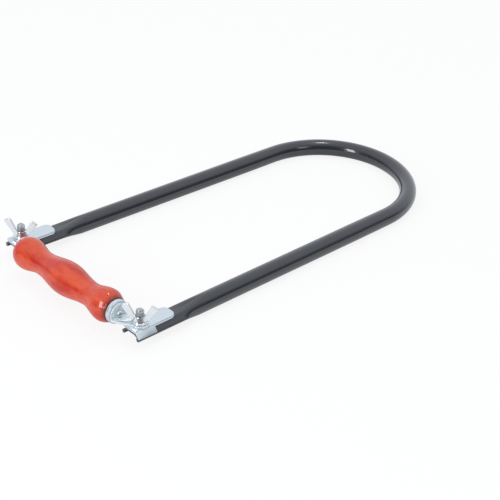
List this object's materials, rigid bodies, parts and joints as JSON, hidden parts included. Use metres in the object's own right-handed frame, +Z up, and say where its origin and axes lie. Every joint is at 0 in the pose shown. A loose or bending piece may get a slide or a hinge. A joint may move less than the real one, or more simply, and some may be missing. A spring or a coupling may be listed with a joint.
{
  "type": "fret saw",
  "caption": "Hand fret saw: bent steel tube frame, blade clamps under wing nuts at the arm ends, and a turned wooden handle that swivels in between the arms for storage.",
  "frame": {"origin": "middle of the saw's footprint, on the surface that the frame's tube lies on", "axes": "+X from the clamps to the bend of the frame, +Y from the handle's arm to the other arm, +Z up, towards the wing nuts"},
  "size_m": [0.3348, 0.1642, 0.0298],
  "materials": {
    "black_gloss_paint": "gloss",
    "bright_zinc_plate": "bright",
    "red_lacquered_wood": "gloss lacquer"
  },
  "bodies": {
    "frame": {"frame_bow": "black_gloss_paint", "lower_clamp_bolt": "bright_zinc_plate", "lower_base_jaw": "bright_zinc_plate", "upper_clamp_bolt": "bright_zinc_plate", "upper_base_jaw": "bright_zinc_plate"},
    "lower_jaw": {"lower_top_jaw": "bright_zinc_plate"},
    "lower_wing": {"lower_wing_nut": "bright_zinc_plate"},
    "handle": {"handle_bracket": "bright_zinc_plate", "handle_ferrule": "bright_zinc_plate", "handle_screw": "bright_zinc_plate", "handle_grip": "red_lacquered_wood"},
    "upper_jaw": {"upper_top_jaw": "bright_zinc_plate", "upper_spacer": "bright_zinc_plate"},
    "upper_wing": {"upper_wing_nut": "bright_zinc_plate"}
  },
  "joints": [
    {"name": "lower_jaw_lift", "type": "slide", "parent": "frame", "child": "lower_jaw", "axis": [0, 0, 1], "range_m": [0, 0.003]},
    {"name": "lower_wing_spin", "type": "hinge", "parent": "lower_jaw", "child": "lower_wing", "pos_m": [-0.14422, -0.07117, 0.00675], "axis": [0, 0, 1], "range_deg": [0, 1080]},
    {"name": "handle_swivel", "type": "hinge", "parent": "lower_jaw", "child": "handle", "pos_m": [-0.14422, -0.07117, 0.00675], "axis": [0, 0, 1], "range_deg": [-45, 200]},
    {"name": "upper_jaw_lift", "type": "slide", "parent": "frame", "child": "upper_jaw", "axis": [0, 0, 1], "range_m": [0, 0.003]},
    {"name": "upper_wing_spin", "type": "hinge", "parent": "upper_jaw", "child": "upper_wing", "pos_m": [-0.14422, 0.07083, 0.00675], "axis": [0, 0, 1], "range_deg": [0, 1080]}
  ],
  "couplings": [
    {"joint": "lower_wing_spin", "follows": "lower_jaw_lift", "rad_per_m": 6283.2},
    {"joint": "upper_wing_spin", "follows": "upper_jaw_lift", "rad_per_m": 6283.2}
  ]
}
